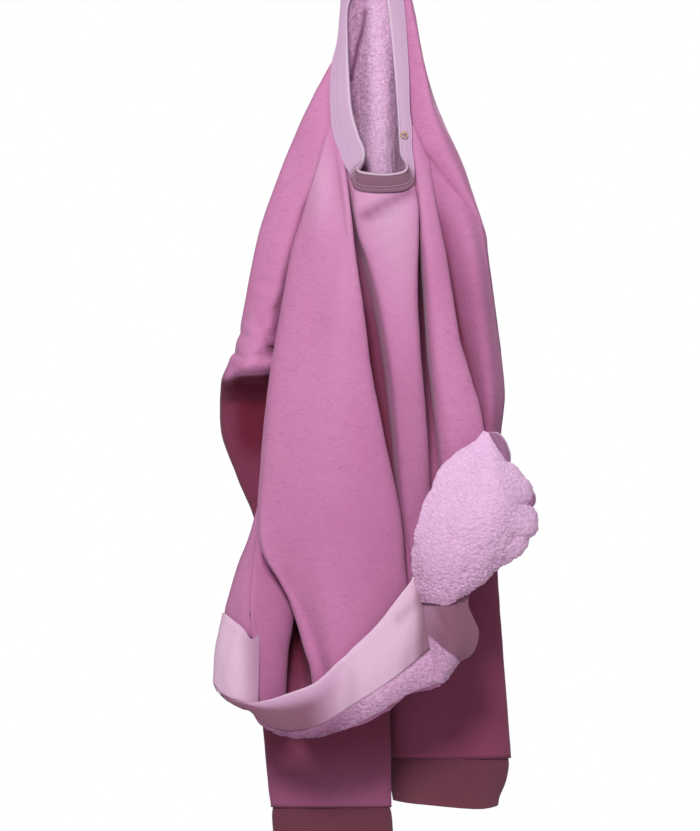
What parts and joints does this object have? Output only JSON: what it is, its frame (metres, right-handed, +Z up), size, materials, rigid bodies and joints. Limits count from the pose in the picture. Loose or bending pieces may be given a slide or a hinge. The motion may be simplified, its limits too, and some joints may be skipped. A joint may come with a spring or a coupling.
{
  "type": "hung sweatshirt",
  "caption": "Crew-neck raglan sweatshirt hanging in folds from a peg by its neck band, hem turned up in front and sleeves dropped behind.",
  "frame": {"origin": "the peg's seat, inside the top of the neck band", "axes": "+Z up, the wearer's front faces -Y, +X to the right as seen from the front"},
  "size_m": [0.3529, 0.1891, 1.0174],
  "materials": {
    "velour": "brushed nap",
    "sleeve_velour": "brushed nap",
    "fleece": "fleece",
    "neck_rib": "fine rib",
    "hem_rib": "fine rib",
    "thread": "matt",
    "tag_plastic": "satin"
  },
  "bodies": {
    "torso": {"front_panel": "velour", "back_panel": "velour", "back_panel_turned_out": "fleece", "left_sleeve_upper": "velour", "right_sleeve_upper": "velour", "neck_band": "neck_rib", "hem_band_turned_up": "hem_rib", "hem_band_right": "hem_rib", "hem_band_back": "hem_rib", "raglan_stitch_front_left": "thread", "raglan_stitch_front_right": "thread", "raglan_stitch_back_left": "thread", "raglan_stitch_back_right": "thread", "neck_stitch_outer": "thread", "neck_stitch_inner": "thread", "tag_pin": "tag_plastic"},
    "left_sleeve": {"left_sleeve_lower": "sleeve_velour", "left_cuff": "sleeve_velour", "left_cuff_ring": "thread"},
    "right_sleeve": {"right_sleeve_lower": "sleeve_velour", "right_cuff": "sleeve_velour", "right_cuff_ring": "thread"},
    "tag": {"tag_loop": "tag_plastic"}
  },
  "joints": [
    {"name": "left_sleeve_swing", "type": "hinge", "parent": "torso", "child": "left_sleeve", "pos_m": [-0.05, 0.054, -0.44], "axis": [0, 1, 0], "range_deg": [0, 30]},
    {"name": "right_sleeve_swing", "type": "hinge", "parent": "torso", "child": "right_sleeve", "pos_m": [0.08, 0.058, -0.31], "axis": [0, -1, 0], "range_deg": [0, 22]},
    {"name": "tag_swing", "type": "hinge", "parent": "torso", "child": "tag", "pos_m": [0.04, -0.028, -0.184], "axis": [0, 1, 0], "range_deg": [-50, 50]}
  ]
}
